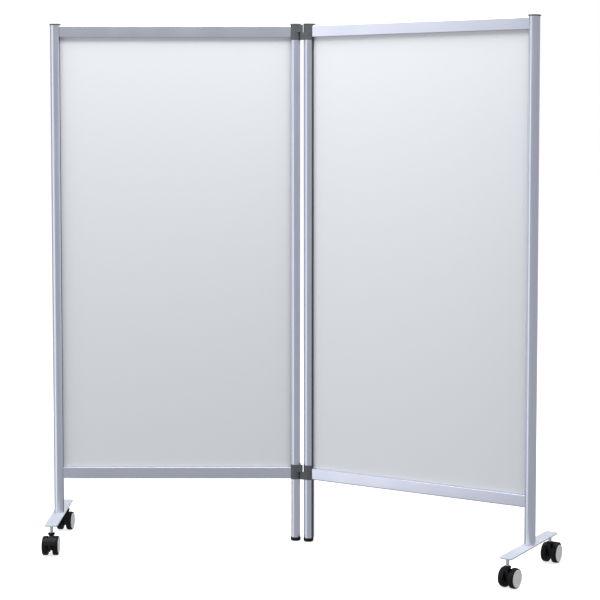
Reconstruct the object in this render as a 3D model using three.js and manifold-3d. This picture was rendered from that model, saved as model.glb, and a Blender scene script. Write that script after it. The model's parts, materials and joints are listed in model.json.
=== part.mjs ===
// Folding mobile whiteboard partition: two framed boards hinged together, on T-shaped feet with casters.
// Millimetres, +Z up, the writing side faces -Y. The origin is the centre of the bounding box's base.
import * as THREE from "three";
import { mergeVertices } from "three/addons/utils/BufferGeometryUtils.js";
import Module from "manifold-3d";

const wasm = await Module();
wasm.setup();

// Driving dimensions
const OVERALL_HEIGHT = 1806;
const WING_PITCH = 831; // between the centres of a wing's two uprights
const WING_ANGLE = 31; // degrees that the right wing is swung forward at rest
const GAP = 0.3; // clearance between pieces that touch

const UPRIGHT = { radius: 17, halfWidth: 15.5, rear: 17, corner: 3 };
const BORE = { radius: 9.5, y: -3 }; // the round hollow along each upright
const RAIL = { height: 40, front: -6, rear: 17, corner: 5, wall: 2 };
const TOP_RAIL_BASE = 1761;
const BOTTOM_RAIL_BASE = 221;
const PANEL = { front: 6.5, sheet: 0.8, bond: 0.3, core: 6, inUpright: 4, inRail: 10 };
const COLLAR = { radius: 18.2, rear: 19, corner: 5 }; // the outline of the caps and the hinge leaves
const CAP = { thickness: 4, plugDepth: 12 };
const GLIDE = { radius: 17.8, base: 2.7, height: 12.5, chamfer: 2.5 };

const HINGE = { across: 20, ahead: 16, height: 51, knuckle: 5, pin: 2.5, midGap: 0.5 };
const HINGE_ARM = { x: 3, y: -9.7, radius: 8 }; // where the arm leaves its collar
const HINGE_OPENING = 13; // from the upright's centre to the side of the collar that the rail passes
const TOP_HINGE_BASE = 1751;
const BOTTOM_HINGE_BASE = 221.5;

const FOOT = { length: 390, width: 44, corner: 12, top: 102, thickness: 5 };
const FOOT_BOLT = { radius: 5, headRadius: 8, headHeight: 5, reach: 26 };
const CASTER_OFFSET = 175; // stem to the upright's centre, along the foot

const WHEEL = { radius: 32.5, inner: 8, outer: 27.5, disc: 28.1, discSeat: 22, chamfer: 2.5, facets: 20 };
const SHOULDER = { start: 4, drop: 2, end: 0.8 }; // the tread's outer edge: two steps of chamfer
const DISC = { chamfer: 2, edge: 0.8, crown: 1 }; // how far the hub disc stands out past the wheel
const CASTER = { trail: 15, axle: 3, axleReach: 22, boss: 17, halfWidth: 6.5 };
const HEAD = { height: 60, radius: 10 }; // the top of the fork, on the stem's axis
const NECK = { root: 7.5, radius: 12, base: 61, shoulder: 69, top: 72.5 };
const STEM = { radius: 6, pin: 4, tip: 5, pinBase: 50, collar: 73.5, tipDepth: 3.2 };
const BRAKE = { trail: 30, height: 49, hub: 4, pin: 1.5, ear: 2, arm: 5.5 };
// The pedal's plate is an arc over the wheels, between two angles in degrees.
const PEDAL = { inner: 36, outer: 39.5, from: 12, to: 52, halfWidth: 21 };
const TONGUE = { inner: 50.4, outer: 53.9, base: 20, top: 41, corner: 1.5, halfWidth: 4.5 };

// Materials
const finish = (color, roughness, metalness) => ({ color, roughness, metalness });
const ALUMINIUM = finish(0xb4b9c6, 0.42, 0.85);
const WHITEBOARD = finish(0xf1f3f5, 0.18, 0.0);
const BACKING = finish(0xc9cbcf, 0.6, 0.0);
const CAP_GREY = finish(0x5a5c60, 0.6, 0.0);
const HINGE_GREY = finish(0x67696c, 0.5, 0.0);
const STEEL = finish(0xc8ccd2, 0.3, 1.0);
const BLACK_PLASTIC = finish(0x1c1d1f, 0.5, 0.0);
const TYRE_BLACK = finish(0x202123, 0.75, 0.0);
const HUB_GREY = finish(0xcfd2d6, 0.45, 0.0);

// Geometry to solid and back
function solid(geometry) {
  const bare = geometry.clone();
  bare.deleteAttribute("normal");
  bare.deleteAttribute("uv");
  const merged = mergeVertices(bare, 1e-4);
  const vertProperties = new Float32Array(merged.attributes.position.array);
  const triVerts = new Uint32Array(merged.index.array);
  return new wasm.Manifold(new wasm.Mesh({ numProp: 3, vertProperties, triVerts }));
}

function fromSolid(body) {
  const mesh = body.getMesh();
  const geometry = new THREE.BufferGeometry();
  geometry.setAttribute("position", new THREE.BufferAttribute(mesh.vertProperties, 3));
  geometry.setIndex(new THREE.BufferAttribute(mesh.triVerts, 1));
  geometry.computeVertexNormals();
  return geometry;
}

const join = (first, ...rest) => fromSolid(rest.reduce((sum, g) => sum.add(solid(g)), solid(first)));
const cut = (first, ...rest) => fromSolid(rest.reduce((sum, g) => sum.subtract(solid(g)), solid(first)));

function named(name, geometry, material) {
  const mesh = new THREE.Mesh(geometry, new THREE.MeshStandardMaterial(material));
  mesh.name = name;
  return mesh;
}

// Extrusions and turned shapes
function upward(shape, base, top, curveSegments = 4) {
  const depth = top - base;
  const geometry = new THREE.ExtrudeGeometry(shape, { depth, bevelEnabled: false, curveSegments });
  return geometry.translate(0, 0, base);
}

// A section drawn in (y, z), extruded along X from one x to another.
function along(shape, from, to, curveSegments = 3) {
  const depth = to - from;
  const geometry = new THREE.ExtrudeGeometry(shape, { depth, bevelEnabled: false, curveSegments });
  const turn = new THREE.Matrix4().makeBasis(
    new THREE.Vector3(0, 1, 0),
    new THREE.Vector3(0, 0, 1),
    new THREE.Vector3(1, 0, 0),
  );
  return geometry.applyMatrix4(turn).translate(from, 0, 0);
}

// A section drawn in (x, z), extruded along Y between two values of y.
function across(shape, from, to, curveSegments = 5) {
  const depth = to - from;
  const geometry = new THREE.ExtrudeGeometry(shape, { depth, bevelEnabled: false, curveSegments });
  return geometry.rotateX(Math.PI / 2).translate(0, to, 0);
}

const vectors = (points) => points.map(([x, y]) => new THREE.Vector2(x, y));

// Turned about Z: the profile's points are (radius, z), from the base up.
function turned(profile, segments = 20) {
  return new THREE.LatheGeometry(vectors(profile), segments).rotateX(Math.PI / 2);
}

function rod(radius, base, top, segments = 12) {
  const geometry = new THREE.CylinderGeometry(radius, radius, top - base, segments);
  return geometry.rotateX(Math.PI / 2).translate(0, 0, (base + top) / 2);
}

// A rod along Y, reaching as far on each side of the middle.
function crossRod(radius, reach, x, z, segments = 12) {
  return new THREE.CylinderGeometry(radius, radius, 2 * reach, segments).translate(x, 0, z);
}

// Outlines
// The upright's section, or one that stands off from it by grow. Its front is round and its rear squarer.
function uprightOutline(grow = 0) {
  const radius = UPRIGHT.radius + grow;
  const half = UPRIGHT.halfWidth + grow;
  const rear = UPRIGHT.rear + grow;
  const corner = UPRIGHT.corner + grow;
  const start = Math.acos(half / radius);
  const shape = new THREE.Shape();
  shape.absarc(0, 0, radius, Math.PI + start, 2 * Math.PI - start, false);
  shape.absarc(half - corner, rear - corner, corner, 0, Math.PI / 2, false);
  shape.absarc(corner - half, rear - corner, corner, Math.PI / 2, Math.PI, false);
  shape.closePath();
  return shape;
}

function collarOutline() {
  const { radius, rear, corner } = COLLAR;
  const shape = new THREE.Shape();
  shape.absarc(0, 0, radius, Math.PI, 2 * Math.PI, false);
  shape.absarc(radius - corner, rear - corner, corner, 0, Math.PI / 2, false);
  shape.absarc(corner - radius, rear - corner, corner, Math.PI / 2, Math.PI, false);
  shape.closePath();
  return shape;
}

function rectangle(left, bottom, right, top, corner = 0) {
  const shape = new THREE.Shape();
  if (corner === 0) {
    return new THREE.Shape(vectors([[left, bottom], [right, bottom], [right, top], [left, top]]));
  }
  shape.absarc(right - corner, bottom + corner, corner, -Math.PI / 2, 0, false);
  shape.absarc(right - corner, top - corner, corner, 0, Math.PI / 2, false);
  shape.absarc(left + corner, top - corner, corner, Math.PI / 2, Math.PI, false);
  shape.absarc(left + corner, bottom + corner, corner, Math.PI, 1.5 * Math.PI, false);
  shape.closePath();
  return shape;
}

// Two circles and the straight lines that wrap them, as a bar with round ends.
function wrapped([x1, y1, r1], [x2, y2, r2]) {
  const heading = Math.atan2(y2 - y1, x2 - x1);
  const spread = Math.acos((r1 - r2) / Math.hypot(x2 - x1, y2 - y1));
  const shape = new THREE.Shape();
  shape.absarc(x1, y1, r1, heading + spread, heading - spread + 2 * Math.PI, false);
  shape.absarc(x2, y2, r2, heading - spread, heading + spread, false);
  shape.closePath();
  return shape;
}

const coreFront = PANEL.front + PANEL.sheet + PANEL.bond;
const coreRear = coreFront + PANEL.core;
const uprightTop = OVERALL_HEIGHT - CAP.thickness;

// A round plug that fits the hollow of an upright.
function borePlug(base, top) {
  return rod(BORE.radius - GAP, base, top).translate(0, BORE.y, 0);
}

// An upright from base to its cap. panelSide is the sign of x on which the panel lies.
function upright(base, panelSide) {
  const bar = upward(uprightOutline(), base, uprightTop - GAP);
  const half = UPRIGHT.halfWidth - PANEL.inUpright - GAP;
  const groove = rectangle(half, coreFront - GAP, UPRIGHT.radius, coreRear + GAP);
  const slot = upward(groove, BOTTOM_RAIL_BASE, uprightTop + 1);
  if (panelSide < 0) {
    slot.rotateZ(Math.PI).translate(0, coreFront + coreRear, 0);
  }
  const bore = rod(BORE.radius, base - 1, uprightTop + 1).translate(0, BORE.y, 0);
  return cut(bar, slot, bore);
}

function cap() {
  const lid = upward(collarOutline(), uprightTop, OVERALL_HEIGHT, 7);
  return join(lid, borePlug(uprightTop - CAP.plugDepth, uprightTop + 1));
}

function glide() {
  const { radius, base, height, chamfer } = GLIDE;
  const top = base + height;
  const sole = [[0, base], [radius - chamfer, base], [radius, base + chamfer]];
  const foot = turned([...sole, [radius, top], [0, top]]);
  return join(foot, borePlug(top - 1, top + CAP.plugDepth));
}

// A rail: rounded front corners and a groove on the edge that faces the panel.
function rail(base, grooveAtTop) {
  const top = base + RAIL.height;
  const { front, rear, corner, wall } = RAIL;
  const outer = rectangle(front, base, rear, top, corner);
  const grooveBase = grooveAtTop ? top - PANEL.inRail - GAP : base - 1;
  const grooveTop = grooveAtTop ? top + 1 : base + PANEL.inRail + GAP;
  const groove = rectangle(coreFront - GAP, grooveBase, coreRear + GAP, grooveTop);
  const hollowBase = grooveAtTop ? base + wall : grooveTop + wall;
  const hollowTop = grooveAtTop ? grooveBase - wall : top - wall;
  const hollow = rectangle(front + wall, hollowBase, rear - wall, hollowTop, wall);
  const from = UPRIGHT.halfWidth + GAP;
  const to = WING_PITCH - from;
  return cut(along(outer, from, to), along(groove, 0, WING_PITCH), along(hollow, 0, WING_PITCH));
}

// A flat layer of the panel between two depths. The last two values are how far it goes into the frame.
function panelLayer(front, rear, intoUpright, intoRail) {
  const left = UPRIGHT.halfWidth - intoUpright;
  const base = BOTTOM_RAIL_BASE + RAIL.height - intoRail;
  const top = TOP_RAIL_BASE + intoRail;
  const layer = new THREE.BoxGeometry(WING_PITCH - 2 * left, rear - front, top - base);
  return layer.translate(WING_PITCH / 2, (front + rear) / 2, (base + top) / 2);
}

// A hinge leaf: a collar open on the rail's side, and an arm with one knuckle at the pin.
// hingeSide is the sign of x on which the pin lies. The arm takes the upper or the lower half.
function hingeLeaf(base, hingeSide, upper) {
  const top = base + HINGE.height;
  const middle = (base + top) / 2;
  const armBase = upper ? middle + HINGE.midGap / 2 : base;
  const armTop = upper ? top : middle - HINGE.midGap / 2;
  const root = [HINGE_ARM.x * hingeSide, HINGE_ARM.y, HINGE_ARM.radius];
  const arm = wrapped(root, [HINGE.across * hingeSide, -HINGE.ahead, HINGE.knuckle]);
  const near = -hingeSide * HINGE_OPENING;
  const far = -hingeSide * (COLLAR.radius + 1);
  const passage = rectangle(Math.min(near, far), RAIL.front - GAP, Math.max(near, far), COLLAR.rear + 1);
  const opening = upward(passage, base - 1, top + 1);
  const pinHole = rod(HINGE.pin + GAP, base - 1, top + 1);
  pinHole.translate(HINGE.across * hingeSide, -HINGE.ahead, 0);
  const body = join(upward(collarOutline(), base, top, 7), upward(arm, armBase, armTop, 5));
  return cut(body, upward(uprightOutline(GAP), base - 1, top + 1), opening, pinHole);
}

// Foot pieces, centred on the outer upright
function footPlate() {
  const { length, width, corner, top, thickness } = FOOT;
  const base = top - thickness;
  const plate = upward(rectangle(-width / 2, -length / 2, width / 2, length / 2, corner), base, top);
  const boltHole = rod(FOOT_BOLT.radius + GAP, base - 1, top + 1).translate(0, BORE.y, 0);
  const sockets = [-1, 1].map((end) => {
    const socket = rod(STEM.tip + GAP, base - 1, base + STEM.tipDepth + GAP);
    return socket.translate(0, end * CASTER_OFFSET, 0);
  });
  return cut(plate, boltHole, ...sockets);
}

function footBolt() {
  const base = FOOT.top - FOOT.thickness - GAP;
  const { radius, headRadius, headHeight, reach } = FOOT_BOLT;
  const head = rod(headRadius, base - headHeight, base, 6);
  return join(head, rod(radius, base - 1, base + reach)).translate(0, BORE.y, 0);
}

function footPlug() {
  const base = FOOT.top + GAP;
  const { radius, reach } = FOOT_BOLT;
  const hole = rod(radius + GAP, base - 1, base + reach).translate(0, BORE.y, 0);
  return cut(borePlug(base, base + reach + 4), hole);
}

// Caster pieces, in the caster's own frame: the stem on Z, the wheels trailing towards +X, the axle along Y
function stem() {
  const shoulder = FOOT.top - FOOT.thickness - GAP;
  const tip = shoulder + STEM.tipDepth;
  const profile = [
    [0, STEM.pinBase], [STEM.pin, STEM.pinBase], [STEM.pin, STEM.collar], [STEM.radius, STEM.collar],
    [STEM.radius, shoulder], [STEM.tip, shoulder], [STEM.tip, tip], [0, tip],
  ];
  return turned(profile, 12);
}

function housing(braked) {
  const { trail, halfWidth, boss } = CASTER;
  const axle = [trail, WHEEL.radius, boss];
  const fork = across(wrapped(axle, [0, HEAD.height, HEAD.radius]), -halfWidth, halfWidth);
  const { root, radius, base, shoulder, top } = NECK;
  const neck = turned([[0, base], [root, base], [radius, shoulder], [radius, top], [0, top]], 16);
  const stemHole = rod(STEM.pin + GAP, STEM.pinBase - GAP, top + 1);
  const axleHole = crossRod(CASTER.axle + GAP, WHEEL.inner, trail, WHEEL.radius);
  if (!braked) {
    return cut(join(fork, neck), stemHole, axleHole);
  }
  const ear = across(wrapped(axle, [BRAKE.trail, BRAKE.height, BRAKE.hub]), -BRAKE.ear, BRAKE.ear);
  const earHole = crossRod(BRAKE.pin + GAP, WHEEL.inner, BRAKE.trail, BRAKE.height, 8);
  return cut(join(fork, neck, ear), stemHole, axleHole, earHole);
}

// Part of a ring about the axle, from one angle to another.
function arcBand(inner, outer, from, to) {
  const shape = new THREE.Shape();
  const start = THREE.MathUtils.degToRad(from);
  const end = THREE.MathUtils.degToRad(to);
  shape.absarc(CASTER.trail, WHEEL.radius, outer, start, end, false);
  shape.absarc(CASTER.trail, WHEEL.radius, inner, end, start, true);
  shape.closePath();
  return shape;
}

// The pedal: a curved plate over the wheels, a tongue between them, and two cheeks on a pin.
function brakePedal() {
  const { halfWidth, inner, outer, from, to } = PEDAL;
  const plate = across(arcBand(inner, outer, from, to), -halfWidth, halfWidth, 8);
  const blade = rectangle(TONGUE.inner, TONGUE.base, TONGUE.outer, TONGUE.top, TONGUE.corner);
  const tongue = across(blade, -TONGUE.halfWidth, TONGUE.halfWidth, 3);
  const arm = wrapped([BRAKE.trail, BRAKE.height, BRAKE.hub], [TONGUE.inner, TONGUE.top, 2]);
  const clear = BRAKE.ear + 2 * GAP;
  const cheeks = [across(arm, clear, BRAKE.arm), across(arm, -BRAKE.arm, -clear)];
  const pin = crossRod(BRAKE.pin, BRAKE.arm, BRAKE.trail, BRAKE.height, 8);
  return join(plate, tongue, pin, ...cheeks);
}

// A wheel part turned about Y, with a facet flat on the floor. The profile's points are (radius, y).
function wheelPart(profile, side) {
  const { facets } = WHEEL;
  const points = vectors(profile.map(([r, y]) => [r / Math.cos(Math.PI / facets), y]));
  const geometry = new THREE.LatheGeometry(points, facets, Math.PI / facets);
  if (side < 0) {
    geometry.rotateX(Math.PI);
  }
  return geometry.translate(CASTER.trail, 0, WHEEL.radius);
}

// The tread, its web and the bore for the axle, with a seat for the hub disc.
function tyre(side) {
  const { radius, inner, outer, disc, discSeat, chamfer } = WHEEL;
  const bore = CASTER.axle + GAP;
  const seat = disc + GAP;
  const profile = [
    [bore, inner], [radius - chamfer, inner], [radius, inner + chamfer],
    [radius, outer - SHOULDER.start], [radius - SHOULDER.drop, outer - SHOULDER.end], [seat, outer],
    [seat, discSeat], [bore, discSeat], [bore, inner],
  ];
  return wheelPart(profile, side);
}

function hub(side) {
  const { outer, disc, discSeat } = WHEEL;
  const profile = [
    [0, discSeat + GAP], [disc, discSeat + GAP], [disc, outer - GAP],
    [disc - DISC.chamfer, outer + DISC.edge], [0, outer + DISC.crown],
  ];
  return wheelPart(profile, side);
}

// heading is the direction in which the wheels trail, in degrees from the wing's +X.
function caster(name, heading, braked) {
  const group = new THREE.Group();
  group.rotation.z = THREE.MathUtils.degToRad(heading);
  group.add(named(`${name}_housing`, housing(braked), BLACK_PLASTIC));
  const axle = crossRod(CASTER.axle, CASTER.axleReach, CASTER.trail, WHEEL.radius);
  group.add(named(`${name}_axle`, axle, STEEL));
  for (const [wheel, side] of [["wheel_a", -1], ["wheel_b", 1]]) {
    group.add(named(`${name}_${wheel}_tyre`, tyre(side), TYRE_BLACK));
    group.add(named(`${name}_${wheel}_hub`, hub(side), HUB_GREY));
  }
  if (braked) {
    group.add(named(`${name}_brake_pedal`, brakePedal(), BLACK_PLASTIC));
  }
  return group;
}

// One wing, with the hinge pin's axis on Z and the wing running out towards side * X.
function wing(name, side, casters) {
  const group = new THREE.Group();
  const frame = new THREE.Group();
  frame.position.set(side * HINGE.across, HINGE.ahead, 0);
  group.add(frame);
  const put = (part, geometry, material, x = 0, y = 0) => {
    const mesh = named(`${name}_${part}`, geometry, material);
    mesh.position.set(x, y, 0);
    frame.add(mesh);
  };
  const outer = side * WING_PITCH;
  const start = side > 0 ? 0 : -WING_PITCH; // the x of the wing's left upright
  const sheet = panelLayer(PANEL.front, PANEL.front + PANEL.sheet, -GAP, -GAP);
  const core = panelLayer(coreFront, coreRear, PANEL.inUpright, PANEL.inRail);

  put("inner_upright", upright(GLIDE.base + GLIDE.height + GAP, side), ALUMINIUM);
  put("outer_upright", upright(FOOT.top + GAP, -side), ALUMINIUM, outer);
  put("inner_cap", cap(), CAP_GREY);
  put("outer_cap", cap(), CAP_GREY, outer);
  put("inner_glide", glide(), BLACK_PLASTIC);
  put("top_rail", rail(TOP_RAIL_BASE, false), ALUMINIUM, start);
  put("bottom_rail", rail(BOTTOM_RAIL_BASE, true), ALUMINIUM, start);
  put("writing_sheet", sheet, WHITEBOARD, start);
  put("panel_backing", core, BACKING, start);
  put("top_hinge_leaf", hingeLeaf(TOP_HINGE_BASE, -side, side < 0), HINGE_GREY);
  put("bottom_hinge_leaf", hingeLeaf(BOTTOM_HINGE_BASE, -side, side < 0), HINGE_GREY);
  put("foot_plate", footPlate(), ALUMINIUM, outer);
  put("foot_bolt", footBolt(), STEEL, outer);
  put("foot_plug", footPlug(), STEEL, outer);

  for (const { end, y, heading, braked } of casters) {
    put(`${end}_caster_stem`, stem(), STEEL, outer, y);
    const unit = caster(`${name}_${end}_caster`, heading, braked);
    unit.position.set(outer, y, 0);
    frame.add(unit);
  }
  return group;
}

const assembly = new THREE.Group();
assembly.add(
  wing("left", -1, [
    { end: "front", y: -CASTER_OFFSET, heading: -90, braked: true },
    { end: "rear", y: CASTER_OFFSET, heading: -97, braked: false },
  ]),
);
const rightWing = wing("right", 1, [
  { end: "front", y: -CASTER_OFFSET, heading: 84, braked: false },
  { end: "rear", y: CASTER_OFFSET, heading: 90, braked: true },
]);
rightWing.rotation.z = -THREE.MathUtils.degToRad(WING_ANGLE);
assembly.add(rightWing);

for (const [place, base] of [["top", TOP_HINGE_BASE], ["bottom", BOTTOM_HINGE_BASE]]) {
  assembly.add(named(`${place}_hinge_pin`, rod(HINGE.pin, base, base + HINGE.height), STEEL));
}

// The bounding box's base centre goes to the origin.
assembly.updateMatrixWorld(true);
const bounds = new THREE.Box3().setFromObject(assembly, true);
const centre = bounds.getCenter(new THREE.Vector3());
assembly.position.set(-centre.x, -centre.y, -bounds.min.z);

const group = new THREE.Group();
group.add(assembly);
export default group;
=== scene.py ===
# Folding mobile whiteboard partition: the visible pieces, materials, light and camera.
import json
import math

import bmesh
import bpy
from mathutils import Matrix, Vector


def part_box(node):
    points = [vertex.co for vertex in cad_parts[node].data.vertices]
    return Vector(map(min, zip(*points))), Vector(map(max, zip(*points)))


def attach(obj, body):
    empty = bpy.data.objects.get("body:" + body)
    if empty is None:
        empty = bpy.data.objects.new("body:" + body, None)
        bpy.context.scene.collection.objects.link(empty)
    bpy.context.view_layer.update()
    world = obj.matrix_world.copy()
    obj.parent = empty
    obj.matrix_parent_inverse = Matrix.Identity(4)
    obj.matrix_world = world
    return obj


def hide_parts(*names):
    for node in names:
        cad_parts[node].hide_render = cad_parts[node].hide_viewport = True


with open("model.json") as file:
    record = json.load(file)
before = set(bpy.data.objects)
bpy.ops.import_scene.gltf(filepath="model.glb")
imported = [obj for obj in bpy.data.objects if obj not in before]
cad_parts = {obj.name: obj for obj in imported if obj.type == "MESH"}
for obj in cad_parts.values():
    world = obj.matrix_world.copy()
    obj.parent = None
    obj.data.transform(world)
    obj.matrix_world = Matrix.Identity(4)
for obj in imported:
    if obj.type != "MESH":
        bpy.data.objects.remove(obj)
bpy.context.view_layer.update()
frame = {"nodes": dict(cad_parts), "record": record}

MM = 0.001
GAP = 0.3  # mm between pieces that touch
JOINTS = {joint["name"]: joint for joint in frame["record"]["behaviour"]["joints"]}
FOLD = JOINTS["wing_fold"]
HINGE = Vector(FOLD["pos_m"])
WING_ANGLE = math.radians(-FOLD["range_deg"][0])
WING_SIDE = {"left": -1, "right": 1}  # the sign of x towards which a wing runs from the hinge
CASTERS = ("left_front", "left_rear", "right_front", "right_rear")


def wing_matrix(wing):
    """A wing's own frame: the hinge pin's axis on Z, and the wing along X."""
    turn = -WING_ANGLE if wing == "right" else 0.0
    return Matrix.Translation(HINGE) @ Matrix.Rotation(turn, 4, "Z")


def caster_heading(caster):
    """How far a caster is turned about its stem, from its wheels trailing towards +X."""
    axle = Vector(JOINTS[f"{caster}_wheel_a_spin"]["axis"])
    return math.atan2(axle.y, axle.x) - math.pi / 2


def left_box(node):
    """A left wing node's corners in that wing's frame, in mm. The right wing mirrors them."""
    low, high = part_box(node)
    return [(Vector(corner) - HINGE) / MM for corner in (low, high)]


# Sizes in mm, from the left wing's boxes
inner_low, inner_high = left_box("left_inner_upright")
outer_low, outer_high = left_box("left_outer_upright")
INNER_X = -(inner_low.x + inner_high.x) / 2
OUTER_X = -(outer_low.x + outer_high.x) / 2
FRAME_Y = (inner_low.y + inner_high.y) / 2
HALF_WIDTH = (inner_high.x - inner_low.x) / 2
RADIUS = (inner_high.y - inner_low.y) / 2
backing_low, backing_high = left_box("left_panel_backing")
CORE_FRONT = backing_low.y - FRAME_Y
CORE_REAR = backing_high.y - FRAME_Y
cap_low, cap_high = left_box("left_inner_cap")
COLLAR_RADIUS = (cap_high.x - cap_low.x) / 2
COLLAR_REAR = cap_high.y - FRAME_Y
bolt_low, bolt_high = left_box("left_foot_bolt")
BORE_Y = (bolt_low.y + bolt_high.y) / 2 - FRAME_Y
BORE_RADIUS = 9.5  # the round hollow in an upright
pin_low, pin_high = left_box("top_hinge_pin")
PIN_RADIUS = (pin_high.x - pin_low.x) / 2
UPRIGHT_CORNER = 3
COLLAR_CORNER = 5
WALL = 4  # the upright's, between its groove and its hollow side
RAIL_OUTER_CORNER = 5
RAIL_INNER_CORNER = 1.5
RAIL_GROOVE_DEPTH = 10
CAP_HEIGHT = 4
SHADOW_LINE = 0.6


# Meshes
def arc(x, y, radius, start, end, steps):
    """Points on an arc, both ends included. Angles are in degrees."""
    angles = [math.radians(start + (end - start) * i / steps) for i in range(steps + 1)]
    return [(x + radius * math.cos(a), y + radius * math.sin(a)) for a in angles]


def rounded_box(left, bottom, right, top, corner, steps=8, base_corner=None):
    """A rectangle with rounded corners. The lower two may have a radius of their own."""
    base = corner if base_corner is None else base_corner
    return (
        arc(right - base, bottom + base, base, -90, 0, steps)
        + arc(right - corner, top - corner, corner, 0, 90, steps)
        + arc(left + corner, top - corner, corner, 90, 180, steps)
        + arc(left + base, bottom + base, base, 180, 270, steps)
    )


def wrapped(first, second, steps=24):
    """The outline of a bar whose ends are two circles, each (x, y, radius)."""
    (x1, y1, r1), (x2, y2, r2) = first, second
    heading = math.degrees(math.atan2(y2 - y1, x2 - x1))
    spread = math.degrees(math.acos((r1 - r2) / math.hypot(x2 - x1, y2 - y1)))
    near = arc(x1, y1, r1, heading + spread, heading - spread + 360, steps)
    return near + arc(x2, y2, r2, heading - spread, heading + spread, steps)


def upright_outline():
    """A round front, flat sides and a squarer rear."""
    start = math.degrees(math.acos(HALF_WIDTH / RADIUS))
    corner = UPRIGHT_CORNER
    return (
        arc(0, 0, RADIUS, 180 + start, 360 - start, 40)
        + arc(HALF_WIDTH - corner, RADIUS - corner, corner, 0, 90, 8)
        + arc(corner - HALF_WIDTH, RADIUS - corner, corner, 90, 180, 8)
    )


def collar_outline(shrink=0.0):
    """The outline of the caps and the hinge collars."""
    corner = COLLAR_CORNER - shrink
    radius = COLLAR_RADIUS - shrink
    rear = COLLAR_REAR - shrink
    return (
        arc(0, 0, radius, 180, 360, 48)
        + arc(radius - corner, rear - corner, corner, 0, 90, 10)
        + arc(corner - radius, rear - corner, corner, 90, 180, 10)
    )


def prism(outline, start, end, axis="Z"):
    """An outline pushed along an axis. It is drawn in (x, y), (y, z) or (x, z)."""
    place = {
        "Z": lambda u, v, w: (u, v, w),
        "X": lambda u, v, w: (w, u, v),
        "Y": lambda u, v, w: (u, w, v),
    }[axis]
    bm = bmesh.new()
    near = [bm.verts.new(place(u, v, start)) for u, v in outline]
    far = [bm.verts.new(place(u, v, end)) for u, v in outline]
    bm.faces.new(near)
    bm.faces.new(far)
    for i in range(len(outline)):
        j = (i + 1) % len(outline)
        bm.faces.new((near[i], near[j], far[j], far[i]))
    bmesh.ops.remove_doubles(bm, verts=bm.verts, dist=1e-4)
    bmesh.ops.recalc_face_normals(bm, faces=bm.faces)
    return bm


def lathe(profile, steps=64, axis="Z"):
    """A profile of (radius, height) turned about an axis. It starts and ends on the axis or is closed."""
    bm = bmesh.new()
    rings = []
    for radius, height in profile:
        if radius < 1e-6:
            rings.append([bm.verts.new((0, 0, height))] * steps)
            continue
        ring = []
        for i in range(steps):
            angle = 2 * math.pi * i / steps
            ring.append(bm.verts.new((radius * math.cos(angle), radius * math.sin(angle), height)))
        rings.append(ring)
    closed = profile[0][0] > 1e-6
    pairs = list(zip(rings, rings[1:] + rings[:1])) if closed else list(zip(rings, rings[1:]))
    for lower, upper in pairs:
        for i in range(steps):
            j = (i + 1) % steps
            corners = []
            for vert in (lower[i], lower[j], upper[j], upper[i]):
                if vert not in corners:
                    corners.append(vert)
            if len(corners) > 2:
                bm.faces.new(corners)
    if axis == "Y":
        bmesh.ops.rotate(bm, verts=bm.verts, cent=(0, 0, 0), matrix=Matrix.Rotation(-math.pi / 2, 3, "X"))
    bmesh.ops.recalc_face_normals(bm, faces=bm.faces)
    return bm


def moved(bm, x=0.0, y=0.0, z=0.0):
    bmesh.ops.translate(bm, verts=bm.verts, vec=(x, y, z))
    return bm


def mirrored(bm):
    """Mirrored in x, with its faces still pointing out."""
    bmesh.ops.scale(bm, verts=bm.verts, vec=(-1, 1, 1))
    bmesh.ops.recalc_face_normals(bm, faces=bm.faces)
    return bm


def as_object(bm, name):
    """Turns a bmesh in mm into an object in metres."""
    bmesh.ops.scale(bm, verts=bm.verts, vec=(MM, MM, MM))
    mesh = bpy.data.meshes.new(name)
    bm.to_mesh(mesh)
    bm.free()
    made = bpy.data.objects.new(name, mesh)
    bpy.context.scene.collection.objects.link(made)
    return made


def bake(target):
    """Applies the modifiers."""
    graph = bpy.context.evaluated_depsgraph_get()
    mesh = bpy.data.meshes.new_from_object(target.evaluated_get(graph), depsgraph=graph)
    target.modifiers.clear()
    target.data = mesh


def combined(base, tools, operation):
    """base joined with or cut by each of the tools, all of them bmeshes in mm."""
    target = as_object(base, "base")
    for tool in tools:
        other = as_object(tool, "tool")
        modifier = target.modifiers.new("combine", "BOOLEAN")
        modifier.operation = operation
        modifier.solver = "EXACT"
        modifier.object = other
        bake(target)
        bpy.data.objects.remove(other)
    bm = bmesh.new()
    bm.from_mesh(target.data)
    bpy.data.objects.remove(target)
    bmesh.ops.scale(bm, verts=bm.verts, vec=(1 / MM, 1 / MM, 1 / MM))
    bmesh.ops.dissolve_limit(bm, angle_limit=0.001, verts=bm.verts, edges=bm.edges)
    return bm


def joined(base, *tools):
    return combined(base, tools, "UNION")


def cut(base, *tools):
    return combined(base, tools, "DIFFERENCE")


def piece(name, bm, matrix, body, material, slot, nodes, edge=0.4, segments=3):
    """Finishes a bmesh as one visible piece: edges rounded to edge mm, placed and ridden on its body."""
    made = as_object(bm, name)
    made.matrix_world = matrix
    for polygon in made.data.polygons:
        polygon.use_smooth = True
    for each in material if isinstance(material, tuple) else (material,):
        made.data.materials.append(each)
    if edge > 0:
        bevel = made.modifiers.new("edges", "BEVEL")
        bevel.width = edge * MM
        bevel.segments = segments
        bevel.limit_method = "ANGLE"
        bevel.angle_limit = math.radians(32)
        bevel.harden_normals = True
    else:
        made.data.set_sharp_from_angle(angle=math.radians(32))
    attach(made, body)
    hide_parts(*nodes)
    return made


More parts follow.
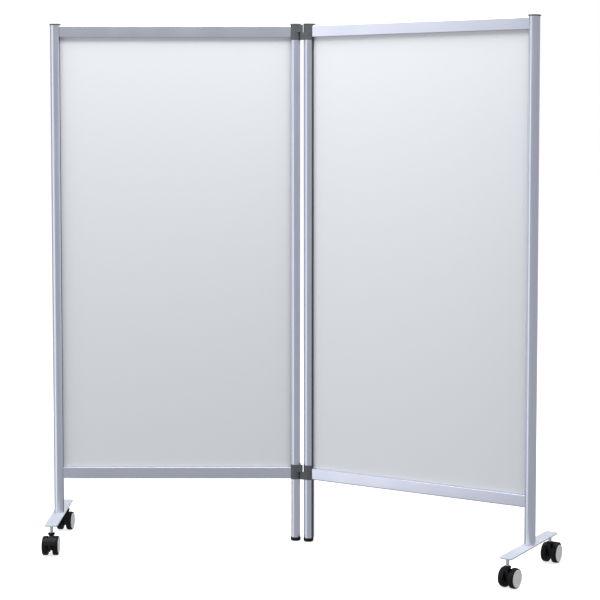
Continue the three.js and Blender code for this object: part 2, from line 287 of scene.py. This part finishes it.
# Materials
class Finish:
    """A Principled material with procedural detail in its colour, roughness and surface."""

    def __init__(self, name, metallic=0.0, **sockets):
        self.material = bpy.data.materials.new(name)
        self.material.use_nodes = True
        self.nodes = self.material.node_tree.nodes
        self.links = self.material.node_tree.links
        self.shader = self.nodes["Principled BSDF"]
        self.shader.inputs["Metallic"].default_value = metallic
        for socket, value in sockets.items():
            self.shader.inputs[socket.replace("_", " ")].default_value = value
        self.place = self.nodes.new("ShaderNodeTexCoord").outputs["Object"]

    def noise(self, scale, detail=4.0, stretch=(1, 1, 1), roughness=0.55):
        """A noise pattern with that many features a metre. stretch scales each axis."""
        mapping = self.nodes.new("ShaderNodeMapping")
        mapping.inputs["Scale"].default_value = stretch
        self.links.new(self.place, mapping.inputs["Vector"])
        texture = self.nodes.new("ShaderNodeTexNoise")
        texture.inputs["Scale"].default_value = scale
        texture.inputs["Detail"].default_value = detail
        texture.inputs["Roughness"].default_value = roughness
        self.links.new(mapping.outputs["Vector"], texture.inputs["Vector"])
        return texture.outputs["Fac"]

    def ramp(self, value, low, high, start=0.35, end=0.65):
        """Maps a pattern to colours between low and high."""
        ramp = self.nodes.new("ShaderNodeValToRGB")
        ramp.color_ramp.elements[0].position = start
        ramp.color_ramp.elements[1].position = end
        ramp.color_ramp.elements[0].color = (*low, 1)
        ramp.color_ramp.elements[1].color = (*high, 1)
        self.links.new(value, ramp.inputs["Fac"])
        return ramp.outputs["Color"]

    def spread(self, value, low, high):
        """Maps a pattern to numbers between low and high."""
        mapped = self.nodes.new("ShaderNodeMapRange")
        mapped.inputs["From Min"].default_value = 0.3
        mapped.inputs["From Max"].default_value = 0.7
        mapped.inputs["To Min"].default_value = low
        mapped.inputs["To Max"].default_value = high
        self.links.new(value, mapped.inputs["Value"])
        return mapped.outputs["Result"]

    def colour(self, output):
        self.links.new(output, self.shader.inputs["Base Color"])

    def rough(self, output):
        self.links.new(output, self.shader.inputs["Roughness"])

    def bump(self, *layers):
        """Each layer is (pattern, height in mm)."""
        normal = None
        for pattern, height in layers:
            bump = self.nodes.new("ShaderNodeBump")
            bump.inputs["Strength"].default_value = 1.0
            bump.inputs["Distance"].default_value = height * MM
            self.links.new(pattern, bump.inputs["Height"])
            if normal is not None:
                self.links.new(normal, bump.inputs["Normal"])
            normal = bump.outputs["Normal"]
        self.links.new(normal, self.shader.inputs["Normal"])


def linear(red, green, blue):
    """An 8-bit screen colour as linear values."""
    values = []
    for channel in (red, green, blue):
        share = channel / 255
        values.append(share / 12.92 if share <= 0.04045 else ((share + 0.055) / 1.055) ** 2.4)
    return tuple(values)


def toned(colour, share):
    return tuple(channel * share for channel in colour)


def anodised(name, stretch):
    """Satin silver anodising with fine drawing lines along the extrusion."""
    base = linear(230, 234, 249)
    finish = Finish(name, metallic=1.0)
    lines = finish.noise(900, 3, stretch)
    clouds = finish.noise(9, 0)
    finish.colour(finish.ramp(lines, toned(base, 0.965), base))
    finish.rough(finish.spread(clouds, 0.3, 0.36))
    finish.bump((lines, 0.004), (finish.noise(5000, 2), 0.002))
    return finish.material


def powder_coat():
    """Silver powder coat: a fine pebbled skin with a slight sparkle."""
    base = linear(222, 226, 238)
    finish = Finish("powder_coat", metallic=0.3)
    pebbles = finish.noise(1400, 3)
    finish.colour(finish.ramp(finish.noise(3800, 2), toned(base, 0.94), base))
    finish.rough(finish.spread(pebbles, 0.42, 0.55))
    finish.bump((pebbles, 0.03))
    return finish.material


def enamel():
    """Glossy white enamel on steel, with a faint orange peel."""
    base = linear(236, 238, 241)
    finish = Finish("white_enamel", Coat_Weight=0.25, Coat_Roughness=0.12)
    peel = finish.noise(420, 2)
    finish.colour(finish.ramp(peel, toned(base, 0.985), base))
    finish.rough(finish.spread(peel, 0.28, 0.32))
    finish.bump((peel, 0.004))
    return finish.material


def laminate():
    """Light grey laminate on the back of the board, with a fine pearl texture."""
    base = linear(205, 207, 211)
    finish = Finish("grey_laminate")
    grain = finish.noise(1100, 4)
    finish.colour(finish.ramp(finish.noise(260, 5), toned(base, 0.95), base))
    finish.rough(finish.spread(grain, 0.5, 0.62))
    finish.bump((grain, 0.03))
    return finish.material


def moulded(name, colour, rough, grain=1600, depth=0.02, shine=0.5):
    """Moulded plastic with a fine spark-eroded grain and slightly uneven gloss."""
    finish = Finish(name, Specular_IOR_Level=shine)
    pattern = finish.noise(grain, 3)
    finish.colour(finish.ramp(finish.noise(70, 4), toned(colour, 0.88), colour))
    finish.rough(finish.spread(finish.noise(35, 3), rough - 0.06, rough + 0.06))
    finish.bump((pattern, depth))
    return finish.material


def tyre_rubber():
    """Black tread, dusty and a little scuffed."""
    base = linear(22, 22, 24)
    finish = Finish("tyre_rubber", Specular_IOR_Level=0.2)
    scuffs = finish.noise(160, 6, (1, 1, 1), 0.7)
    finish.colour(finish.ramp(scuffs, toned(base, 0.7), base, 0.3, 0.8))
    finish.rough(finish.spread(scuffs, 0.5, 0.72))
    finish.bump((finish.noise(1200, 3), 0.03))
    return finish.material


def zinc_steel():
    """Bright zinc plating with fine turning marks."""
    base = linear(225, 229, 238)
    finish = Finish("zinc_steel", metallic=0.8)
    marks = finish.noise(500, 3, (0.2, 0.2, 4))
    finish.colour(finish.ramp(marks, toned(base, 0.9), base))
    finish.rough(finish.spread(marks, 0.28, 0.42))
    finish.bump((marks, 0.006))
    return finish.material


UPRIGHT_METAL = anodised("anodised_upright", (1, 1, 0.004))
RAIL_METAL = anodised("anodised_rail", (0.004, 1, 1))
POWDER_COAT = powder_coat()
ENAMEL = enamel()
LAMINATE = laminate()
CAP_PLASTIC = moulded("cap_plastic", linear(80, 82, 86), 0.5)
# Dark grey that paints the shade on each upright's flank beside the panel, in front of the groove.
PAINTED_SHADE_GREY = moulded("painted_shade_grey", linear(70, 72, 77), 0.5)
HINGE_PLASTIC = moulded("hinge_plastic", linear(88, 91, 95), 0.5)
BLACK_PLASTIC = moulded("black_plastic", linear(25, 26, 29), 0.42, shine=0.22)
HUB_PLASTIC = moulded("hub_plastic", linear(249, 251, 253), 0.4, 2200, 0.012)
TYRE_RUBBER = tyre_rubber()
ZINC_STEEL = zinc_steel()


# Frame pieces, each drawn with the wing running towards +x from its inner upright
def groove_cutter(left, right, base, top):
    """The groove that holds the panel's edge."""
    front = CORE_FRONT - GAP
    rear = CORE_REAR + GAP
    return prism([(left, front), (right, front), (right, rear), (left, rear)], base, top)


def bore_rod(radius, base, top):
    """A rod on the axis of the round hollow in an upright."""
    return moved(lathe([(0, base), (radius, base), (radius, top), (0, top)], 48), 0, BORE_Y)


def upright(node, panel_side):
    """panel_side is the sign of x on which the panel lies. The lip there has the second material, a dark
    grey that paints the shade on that flank.
    """
    low, high = left_box(node)
    groove_base = left_box("left_bottom_rail")[0].z
    depth = HALF_WIDTH - WALL - GAP
    left, right = (depth, RADIUS + 2) if panel_side > 0 else (-RADIUS - 2, -depth)
    bar = prism(upright_outline(), low.z, high.z)
    hollow = bore_rod(BORE_RADIUS, low.z - 1, high.z + 1)
    bar = cut(bar, groove_cutter(left, right, groove_base, high.z + 1), hollow)
    lip_edge = CORE_FRONT - GAP
    everything = bar.verts[:] + bar.edges[:] + bar.faces[:]
    bmesh.ops.bisect_plane(bar, geom=everything, plane_co=(0, lip_edge, 0), plane_no=(0, 1, 0))
    bmesh.ops.remove_doubles(bar, verts=bar.verts, dist=0.01)
    bar.normal_update()
    # The flank that faces the panel, in front of the groove, takes the second material: painted shade.
    for face in bar.faces:
        if face.normal.x * panel_side > 0.98 and face.calc_center_median().y < lip_edge:
            face.material_index = 1
    return bar


def rail(node, groove_up):
    low, high = left_box(node)
    front = low.y - FRAME_Y
    rear = high.y - FRAME_Y
    inner, outer = RAIL_INNER_CORNER, RAIL_OUTER_CORNER
    upper, lower = (inner, outer) if groove_up else (outer, inner)
    outline = rounded_box(front, low.z, rear, high.z, upper, 10, lower)
    reach = RAIL_GROOVE_DEPTH + GAP
    base, top = (high.z - reach, high.z + 1) if groove_up else (low.z - 1, low.z + reach)
    groove = rounded_box(CORE_FRONT - GAP, base, CORE_REAR + GAP, top, 0.2, 2)
    start = -high.x
    end = -low.x
    return cut(prism(outline, start, end, "X"), prism(groove, start - 1, end + 1, "X"))


def cap():
    """A lid with a shadow line round its foot, and a plug in the upright's hollow."""
    foot = cap_high.z - CAP_HEIGHT
    lid = prism(collar_outline(), foot + SHADOW_LINE, cap_high.z)
    plug = bore_rod(BORE_RADIUS - GAP, cap_low.z, foot + 1)
    return joined(lid, prism(collar_outline(SHADOW_LINE), foot, foot + 1), plug)


def glide():
    """A round floor cap with a rounded sole, and a plug in the upright's hollow."""
    low, high = left_box("left_inner_glide")
    base = low.z
    top = left_box("left_inner_upright")[0].z - GAP
    radius = (high.x - low.x) / 2
    sole_corner = 3
    top_corner = 1.2
    profile = [(0, base + 0.8), (9, base + 0.5), (11, base)]
    profile += arc(radius - sole_corner, base + sole_corner, sole_corner, -90, 0, 8)
    profile += [(radius, top - top_corner)]
    profile += arc(radius - top_corner, top - top_corner, top_corner, 0, 90, 5)
    return joined(lathe(profile + [(0, top)], 72), bore_rod(BORE_RADIUS - GAP, top - 1, high.z))


def panel(node):
    """A flat layer of the panel."""
    low, high = left_box(node)
    return prism(rounded_box(-high.x, low.z, -low.x, high.z, 2, 6), low.y, high.y, "Y")


def hinge_leaf(node, upper):
    """A collar open on the rail's side, with an arm to the knuckle round the pin."""
    low, high = left_box(node)
    middle = (low.z + high.z) / 2
    arm_base, arm_top = (middle + 0.25, high.z) if upper else (low.z, middle - 0.25)
    collar = prism(collar_outline(), low.z, high.z)
    arm = prism(wrapped((-3, -9.7, 8), (-INNER_X, -FRAME_Y, 5)), arm_base, arm_top)
    bore = prism([(x * 1.02, y * 1.02) for x, y in upright_outline()], low.z - 1, high.z + 1)
    rail_front = left_box("left_top_rail")[0].y - FRAME_Y - GAP
    notch = prism([(13, rail_front), (30, rail_front), (30, 30), (13, 30)], low.z - 1, high.z + 1)
    pin_hole = prism(arc(-INNER_X, -FRAME_Y, PIN_RADIUS + GAP, 0, 348, 29), low.z - 1, high.z + 1)
    return cut(joined(collar, arm), bore, notch, pin_hole)


def hinge_pin(node):
    """A steel pin with domed ends."""
    low, high = left_box(node)
    dome = 1.2
    ends = []
    for degrees in range(0, 90, 15):
        angle = math.radians(degrees)
        ends.append((PIN_RADIUS * math.cos(angle), dome * math.sin(angle)))
    ends.append((0, dome))
    profile = [(radius, low.z + dome - rise) for radius, rise in reversed(ends)]
    profile += [(radius, high.z - dome + rise) for radius, rise in ends]
    return lathe(profile, 32)


def foot_plate():
    """A flat bar with rounded corners, a bolt hole, and a socket for each caster's stem."""
    low, high = left_box("left_foot_plate")
    half = (high.x - low.x) / 2
    reach = (high.y - low.y) / 2
    corner = 12
    hole = 5.3
    plate = prism(rounded_box(-half, -reach, half, reach, corner, 14), low.z, high.z)
    holes = [bore_rod(hole, low.z - 1, high.z + 1)]
    stem_low, stem_high = left_box("left_front_caster_stem")
    stem_reach = FRAME_Y - (stem_low.y + stem_high.y) / 2
    socket_top = stem_high.z + GAP
    for y in (-stem_reach, stem_reach):
        profile = [(0, low.z - 1), (hole, low.z - 1), (hole, socket_top), (0, socket_top)]
        holes.append(moved(lathe(profile, 40), 0, y))
    return cut(plate, *holes)


def foot_bolt():
    """A hexagon head with a chamfered face, and its shank."""
    low, high = left_box("left_foot_bolt")
    head_top = left_box("left_foot_plate")[0].z - GAP
    corner_radius = 7.9
    hexagon = prism(arc(0, 0, corner_radius, 0, 300, 5), low.z, head_top)
    profile = [(0, low.z - 1), (6.0, low.z - 1), (6.8, low.z), (8.6, low.z + 1.4)]
    cone = lathe(profile + [(8.6, head_top + 1), (0, head_top + 1)], 48)
    head = combined(hexagon, [cone], "INTERSECT")
    shank, tip = 4.8, 4.0
    profile = [(0, head_top - 1), (shank, head_top - 1), (shank, high.z - 1), (tip, high.z), (0, high.z)]
    return moved(joined(head, lathe(profile, 32)), 0, BORE_Y)


# Caster pieces, in the caster's frame
AXLE = JOINTS["left_front_wheel_a_spin"]["pos_m"]
STEM = JOINTS["left_front_caster_swivel"]["pos_m"]
TRAIL = math.dist(AXLE[:2], STEM[:2]) / MM
WHEEL_RADIUS = AXLE[2] / MM
WHEEL_INNER = 8.0  # from the caster's middle to a wheel's inner side
WHEEL_OUTER = 27.5
DISC_RADIUS = 28.1
DISC_SEAT = 22.0
AXLE_BORE = 3.3
FORK_HALF_WIDTH = 6.5
FORK_BOSS = 17
HEAD_HEIGHT = 60
HEAD_RADIUS = 10
STEM_RADIUS = 6
STEM_PIN = 4
STEM_TIP = 5
STEM_COLLAR = 73.5  # the height where the thicker part of the stem starts
PEDAL_INNER = 36
PEDAL_OUTER = 39.5
PEDAL_ANGLES = (12, 52)
PEDAL_HALF_WIDTH = 21
TONGUE = (50.4, 20, 53.9, 41)  # left, base, right and top
TONGUE_HALF_WIDTH = 4.5
EAR_HALF_WIDTH = 2
CHEEK_INNER = 2.6
CHEEK_OUTER = 5.5
BRAKE_PIN = 1.5
BRAKE_PIVOT = JOINTS["left_front_brake_press"]["pos_m"]
BRAKE_TRAIL = math.dist(BRAKE_PIVOT[:2], STEM[:2]) / MM
BRAKE_HEIGHT = BRAKE_PIVOT[2] / MM


def caster_stem():
    """A pin in the housing, a thicker part above it, and a tip in the foot plate."""
    shoulder = left_box("left_foot_plate")[0].z - GAP
    base, top = (corner.z for corner in left_box("left_front_caster_stem"))
    profile = [(0, base), (STEM_PIN, base), (STEM_PIN, STEM_COLLAR)]
    profile += [(STEM_RADIUS - 0.6, STEM_COLLAR), (STEM_RADIUS, STEM_COLLAR + 0.6)]
    profile += [(STEM_RADIUS, shoulder - 0.8), (STEM_RADIUS - 0.4, shoulder)]
    profile += [(STEM_TIP, shoulder), (STEM_TIP, top), (0, top)]
    return lathe(profile, 40)


def on_axle(bm, side=1):
    """Moves a shape turned about Y to the axle. side is the sign of y on which the wheel lies."""
    if side < 0:
        bmesh.ops.rotate(bm, verts=bm.verts, cent=(0, 0, 0), matrix=Matrix.Rotation(math.pi, 3, "X"))
    return moved(bm, TRAIL, 0, WHEEL_RADIUS)


def cross_rod(radius, reach, x, z, steps=32):
    """A rod along Y, reaching as far on each side of the middle."""
    return moved(lathe([(0, -reach), (radius, -reach), (radius, reach), (0, reach)], steps, "Y"), x, 0, z)


def rounded_shoulder(radius, width, rise, run, start, end):
    """Part of an ellipse about (radius, width), between two angles in degrees.

    It reaches rise outwards and run sideways.
    """
    return [(radius + rise * x, width + run * y) for x, y in arc(0, 0, 1, start, end, 10)]


def tyre(side):
    """A tread with rounded shoulders, a dished web behind it, and a seat for the hub disc."""
    seat = DISC_RADIUS + GAP
    web = WHEEL_INNER + 1.2
    profile = [(AXLE_BORE, WHEEL_INNER), (9.0, WHEEL_INNER), (10.0, web), (25.0, web)]
    profile += rounded_shoulder(WHEEL_RADIUS - 4.0, WHEEL_INNER + 5.0, 4.0, 5.0, -90, 0)
    profile += rounded_shoulder(WHEEL_RADIUS - 3.6, WHEEL_OUTER - 7.5, 3.6, 7.3, 0, 84)
    profile += [(seat + 0.5, WHEEL_OUTER - 0.1), (seat, WHEEL_OUTER - 0.5)]
    profile += [(seat, DISC_SEAT), (AXLE_BORE, DISC_SEAT)]
    return on_axle(lathe(profile, 96, "Y"), side)


def hub(side):
    """A disc pressed into the wheel, with a raised rim, a shallow dish and a low centre boss."""
    dish = WHEEL_OUTER + 0.15
    rim = WHEEL_OUTER + 0.7
    corner = 1.4
    back = DISC_SEAT + GAP
    profile = [(0, back), (DISC_RADIUS, back), (DISC_RADIUS, WHEEL_OUTER - 0.6)]
    profile += arc(DISC_RADIUS - corner, rim - corner, corner, 0, 90, 6)
    profile += [(25.6, rim), (24.8, dish), (9.2, dish), (8.4, rim), (1.5, rim), (0, rim)]
    return on_axle(lathe(profile, 96, "Y"), side)


def housing(braked):
    """The fork between the wheels, and the tapered neck that turns on the stem."""
    axle = (TRAIL, WHEEL_RADIUS, FORK_BOSS)
    fork = prism(wrapped(axle, (0, HEAD_HEIGHT, HEAD_RADIUS)), -FORK_HALF_WIDTH, FORK_HALF_WIDTH, "Y")
    flare = [(0, 61), (7.5, 61), (12, 69), (12, 71.3), (11.6, 72.1), (10.8, 72.5), (0, 72.5)]
    parts = [lathe(flare, 56)]
    stem_hole = [(0, 49.7), (STEM_PIN + GAP, 49.7), (STEM_PIN + GAP, 80), (0, 80)]
    holes = [lathe(stem_hole, 32), cross_rod(AXLE_BORE, WHEEL_INNER, TRAIL, WHEEL_RADIUS)]
    if braked:
        ear = wrapped(axle, (BRAKE_TRAIL, BRAKE_HEIGHT, 4))
        parts.append(prism(ear, -EAR_HALF_WIDTH, EAR_HALF_WIDTH, "Y"))
        holes.append(cross_rod(BRAKE_PIN + GAP, WHEEL_INNER, BRAKE_TRAIL, BRAKE_HEIGHT))
    return cut(joined(fork, *parts), *holes)


def brake_pedal():
    """A curved plate over the wheels, a tongue between them, and two cheeks on a pin."""
    start, end = PEDAL_ANGLES
    outer = arc(TRAIL, WHEEL_RADIUS, PEDAL_OUTER, start, end, 24)
    inner = arc(TRAIL, WHEEL_RADIUS, PEDAL_INNER, end, start, 24)
    plate = prism(outer + inner, -PEDAL_HALF_WIDTH, PEDAL_HALF_WIDTH, "Y")
    left, _, _, top = TONGUE
    tongue = prism(rounded_box(*TONGUE, 1.5), -TONGUE_HALF_WIDTH, TONGUE_HALF_WIDTH, "Y")
    arm = wrapped((BRAKE_TRAIL, BRAKE_HEIGHT, 4), (left, top, 2))
    near = prism(arm, CHEEK_INNER, CHEEK_OUTER, "Y")
    far = prism(arm, -CHEEK_OUTER, -CHEEK_INNER, "Y")
    pin = cross_rod(BRAKE_PIN, CHEEK_OUTER, BRAKE_TRAIL, BRAKE_HEIGHT)
    return joined(plate, tongue, near, far, pin)


# Every piece in its place
def build_wing(wing):
    side = WING_SIDE[wing]
    body = f"{wing}_wing"
    wing_frame = wing_matrix(wing)

    def put(part, bm, x, y, material, slot, **options):
        if side < 0:
            bm = mirrored(moved(bm, x, y))
        else:
            bm = moved(bm, x, y)
        node = f"{wing}_{part}"
        return piece(f"{node}_visual", bm, wing_frame, body, material, slot, [node], **options)

    # The upright's second material paints the shade on its flank beside the panel.
    metal = (UPRIGHT_METAL, PAINTED_SHADE_GREY)
    put("inner_upright", upright("left_inner_upright", 1), INNER_X, FRAME_Y, metal, "aluminium")
    put("outer_upright", upright("left_outer_upright", -1), OUTER_X, FRAME_Y, metal, "aluminium")
    put("inner_cap", cap(), INNER_X, FRAME_Y, CAP_PLASTIC, "cap_grey", edge=0.25)
    put("outer_cap", cap(), OUTER_X, FRAME_Y, CAP_PLASTIC, "cap_grey", edge=0.25)
    put("inner_glide", glide(), INNER_X, FRAME_Y, BLACK_PLASTIC, "black_plastic", edge=0)
    put("top_rail", rail("left_top_rail", False), 0, FRAME_Y, RAIL_METAL, "aluminium")
    put("bottom_rail", rail("left_bottom_rail", True), 0, FRAME_Y, RAIL_METAL, "aluminium")
    put("writing_sheet", panel("left_writing_sheet"), 0, 0, ENAMEL, "whiteboard", edge=0.2)
    put("panel_backing", panel("left_panel_backing"), 0, 0, LAMINATE, "backing", edge=0.3)
    upper = side < 0
    for place in ("top", "bottom"):
        leaf = hinge_leaf(f"left_{place}_hinge_leaf", upper)
        put(f"{place}_hinge_leaf", leaf, INNER_X, FRAME_Y, HINGE_PLASTIC, "hinge_grey", edge=0.5)
    put("foot_plate", foot_plate(), OUTER_X, FRAME_Y, POWDER_COAT, "foot_plate", edge=0.8, segments=4)
    put("foot_bolt", foot_bolt(), OUTER_X, FRAME_Y, ZINC_STEEL, "steel", edge=0)


def build_caster(caster):
    place = Matrix.Translation(JOINTS[f"{caster}_caster_swivel"]["pos_m"])
    turn = Matrix.Rotation(caster_heading(caster), 3, "Z")
    wing = caster.split("_")[0]
    braked = f"{caster}_brake_press" in JOINTS

    def put(part, bm, body, material, slot, **options):
        node = f"{caster}_caster_{part}"
        bmesh.ops.rotate(bm, verts=bm.verts, cent=(0, 0, 0), matrix=turn)
        return piece(f"{node}_visual", bm, place, body, material, slot, [node], **options)

    put("stem", caster_stem(), f"{wing}_wing", ZINC_STEEL, "steel", edge=0)
    put("housing", housing(braked), f"{caster}_caster", BLACK_PLASTIC, "black_plastic", edge=0.6)
    for letter, side in (("a", -1), ("b", 1)):
        body = f"{caster}_wheel_{letter}"
        put(f"wheel_{letter}_tyre", tyre(side), body, TYRE_RUBBER, "tyre", edge=0)
        put(f"wheel_{letter}_hub", hub(side), body, HUB_PLASTIC, "hub", edge=0)
    if braked:
        put("brake_pedal", brake_pedal(), f"{caster}_brake", BLACK_PLASTIC, "black_plastic", edge=0.6)


def build_pins():
    axis = Matrix.Translation(HINGE)
    for node in ("top_hinge_pin", "bottom_hinge_pin"):
        piece(f"{node}_visual", hinge_pin(node), axis, "left_wing", ZINC_STEEL, "steel", [node], edge=0)


def finish_inner_nodes():
    """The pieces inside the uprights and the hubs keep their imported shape."""
    for name, node in frame["nodes"].items():
        if name.endswith(("_foot_plug", "_caster_axle")):
            for material_slot in node.material_slots:
                material_slot.material = ZINC_STEEL


# Studio
AMBIENT = 0.42
LIGHTS = (  # name, azimuth, elevation, distance, size, watts
    ("left", 66, 0, 4.0, (2.4, 5.0), 28),
    ("high_front", 0, 62, 3.6, (4.0, 1.2), 72),
    ("overhead", 0, 88, 2.5, (4.0, 2.0), 74),
    ("rear", 180, 40, 4.0, (3.0, 2.0), 50),
)


def area_light(name, azimuth, elevation, distance, size, power):
    """A softbox facing the middle of the object. Azimuth 0 is in front, and 90 is on the left."""
    light = bpy.data.lights.new(name, "AREA")
    light.shape = "RECTANGLE"
    light.size, light.size_y = size
    light.energy = power
    lamp = bpy.data.objects.new(name, light)
    turn = math.radians(azimuth)
    rise = math.radians(elevation)
    away = Vector((-math.sin(turn) * math.cos(rise), -math.cos(turn) * math.cos(rise), math.sin(rise)))
    lamp.location = Vector((0, 0, 1.0)) + away * distance
    lamp.rotation_euler = away.to_track_quat("Z", "Y").to_euler()
    lamp.visible_camera = False
    bpy.context.scene.collection.objects.link(lamp)


def build_floor():
    """A large pale floor. It shows shadows, and doesn't tint the object from below."""
    bm = bmesh.new()
    bmesh.ops.create_circle(bm, cap_ends=True, segments=96, radius=30000)
    floor = as_object(bm, "floor")
    finish = Finish("floor_paint", Emission_Color=(1, 1, 1, 1), Emission_Strength=0.72)
    base = (0.85, 0.85, 0.85)
    finish.colour(finish.ramp(finish.noise(3, 3), toned(base, 0.985), base))
    finish.rough(finish.spread(finish.noise(5, 3), 0.7, 0.8))
    floor.data.materials.append(finish.material)
    floor.visible_diffuse = False
    floor.visible_glossy = False
    floor.visible_shadow = False


def build_world():
    """A white surround that lights the object more softly than it looks."""
    world = bpy.data.worlds.new("studio")
    world.use_nodes = True
    bpy.context.scene.world = world
    nodes = world.node_tree.nodes
    links = world.node_tree.links
    seen = nodes["Background"]
    seen.inputs["Color"].default_value = (1, 1, 1, 1)
    seen.inputs["Strength"].default_value = 1.0
    lit = nodes.new("ShaderNodeBackground")
    lit.inputs["Color"].default_value = (0.95, 0.97, 1.0, 1)
    lit.inputs["Strength"].default_value = AMBIENT
    ray = nodes.new("ShaderNodeLightPath")
    mix = nodes.new("ShaderNodeMixShader")
    links.new(ray.outputs["Is Camera Ray"], mix.inputs["Fac"])
    links.new(lit.outputs["Background"], mix.inputs[1])
    links.new(seen.outputs["Background"], mix.inputs[2])
    links.new(mix.outputs["Shader"], nodes["World Output"].inputs["Surface"])


def build_lights():
    for light in LIGHTS:
        area_light(*light)


def build_camera():
    """A camera in front of the hinge, looking slightly down, with the horizon high in the picture."""
    data = bpy.data.cameras.new("camera")
    data.sensor_width = 36
    data.lens = 95.25
    data.shift_y = -0.12
    data.clip_end = 100
    camera = bpy.data.objects.new("camera", data)
    camera.location = (HINGE.x - 0.0048, HINGE.y - 5.493, 1.4306)
    camera.rotation_euler = (math.radians(90 - 3.42), 0, 0)
    bpy.context.scene.collection.objects.link(camera)
    bpy.context.scene.camera = camera


bpy.context.scene.view_settings.view_transform = "Standard"
build_camera()
build_world()
build_lights()
build_floor()
for wing_name in WING_SIDE:
    build_wing(wing_name)
for caster_name in CASTERS:
    build_caster(caster_name)
build_pins()
finish_inner_nodes()
